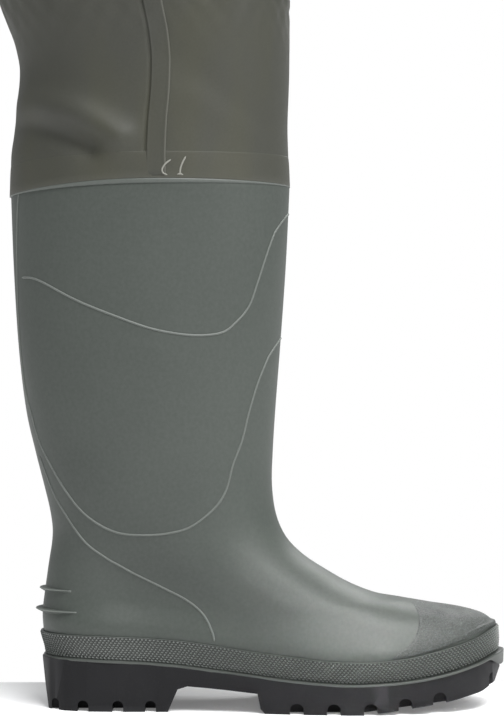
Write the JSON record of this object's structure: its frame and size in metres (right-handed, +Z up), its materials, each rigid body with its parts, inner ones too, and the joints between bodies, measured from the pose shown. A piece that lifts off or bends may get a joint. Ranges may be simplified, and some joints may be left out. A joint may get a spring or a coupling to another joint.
{
  "type": "chest waders",
  "caption": "Chest waders in olive coated fabric with grey-green moulded boots, lugged soles, elastic braces with side-release buckles, a flap pocket and a waist belt.",
  "frame": {"origin": "on the ground, in the middle of the box round the standing waders", "axes": "+Z up; the toes point to -Y; the wearer's right is -X"},
  "size_m": [0.4918, 0.3863, 1.507],
  "materials": {
    "boot_pvc": "satin moulded PVC, grey-green",
    "band_pvc": "matt moulded PVC with studs and grain",
    "sole_pvc": "black moulded sole",
    "coated_fabric": "olive PVC-coated fabric, low sheen",
    "weld_band": "welded PVC overlap, slightly glossier",
    "knit_lining": "grey knitted lining",
    "insole_felt": "grey felt",
    "elastic_webbing": "ribbed black elastic",
    "webbing": "black woven webbing",
    "buckle_plastic": "black acetal, satin",
    "snap_metal": "satin"
  },
  "bodies": {
    "root": {"right_outsole": "sole_pvc", "right_insole": "insole_felt", "right_foxing_band": "band_pvc", "right_boot_upper": "boot_pvc", "right_toe_cap": "band_pvc", "right_heel_spurs": "boot_pvc", "right_boot_lining": "knit_lining", "right_cuff_band": "weld_band", "right_leg_front": "coated_fabric", "right_leg_back": "coated_fabric", "right_side_seam": "weld_band", "right_inseam": "weld_band", "right_brace": "elastic_webbing", "right_buckle_socket": "buckle_plastic", "right_buckle_tab": "webbing", "left_outsole": "sole_pvc", "left_insole": "insole_felt", "left_foxing_band": "band_pvc", "left_boot_upper": "boot_pvc", "left_toe_cap": "band_pvc", "left_heel_spurs": "boot_pvc", "left_boot_lining": "knit_lining", "left_cuff_band": "weld_band", "left_leg_front": "coated_fabric", "left_leg_back": "coated_fabric", "left_side_seam": "weld_band", "left_inseam": "weld_band", "left_brace": "elastic_webbing", "left_buckle_socket": "buckle_plastic", "left_buckle_tab": "webbing", "bib_front": "coated_fabric", "bib_back": "coated_fabric", "front_rise_seam": "weld_band", "back_rise_seam": "weld_band", "top_hem": "weld_band", "back_yoke": "weld_band", "chest_pocket": "coated_fabric", "pocket_stud": "snap_metal", "wading_belt": "webbing", "belt_loops": "coated_fabric", "belt_buckle_socket": "buckle_plastic"},
    "right_buckle": {"right_buckle_tongue": "buckle_plastic"},
    "left_buckle": {"left_buckle_tongue": "buckle_plastic"},
    "right_adjuster": {"right_brace_adjuster": "buckle_plastic"},
    "left_adjuster": {"left_brace_adjuster": "buckle_plastic"},
    "flap": {"pocket_flap": "coated_fabric", "flap_snap": "snap_metal"},
    "belt_tongue": {"belt_buckle_tongue": "buckle_plastic"},
    "belt_slide": {"belt_slider": "buckle_plastic"}
  },
  "joints": [
    {"name": "right_buckle_release", "type": "slide", "parent": "root", "child": "right_buckle", "axis": [0, 0, 1], "range_m": [0, 0.03], "deforming": ["right_brace"]},
    {"name": "right_adjuster_slide", "type": "slide", "parent": "right_buckle", "child": "right_adjuster", "axis": [0, 0, 1], "range_m": [-0.012, 0.035]},
    {"name": "left_buckle_release", "type": "slide", "parent": "root", "child": "left_buckle", "axis": [0, 0, 1], "range_m": [0, 0.03], "deforming": ["left_brace"]},
    {"name": "left_adjuster_slide", "type": "slide", "parent": "left_buckle", "child": "left_adjuster", "axis": [0, 0, 1], "range_m": [-0.012, 0.035]},
    {"name": "pocket_flap_hinge", "type": "hinge", "parent": "root", "child": "flap", "pos_m": [0, -0.116, 1.236], "axis": [-1, 0, 0], "range_deg": [0, 150]},
    {"name": "belt_buckle_release", "type": "slide", "parent": "root", "child": "belt_tongue", "axis": [1, 0, 0], "range_m": [0, 0.026], "deforming": ["wading_belt"]},
    {"name": "belt_slider_slide", "type": "slide", "parent": "belt_tongue", "child": "belt_slide", "axis": [1, 0, 0], "range_m": [-0.02, 0.012]}
  ]
}
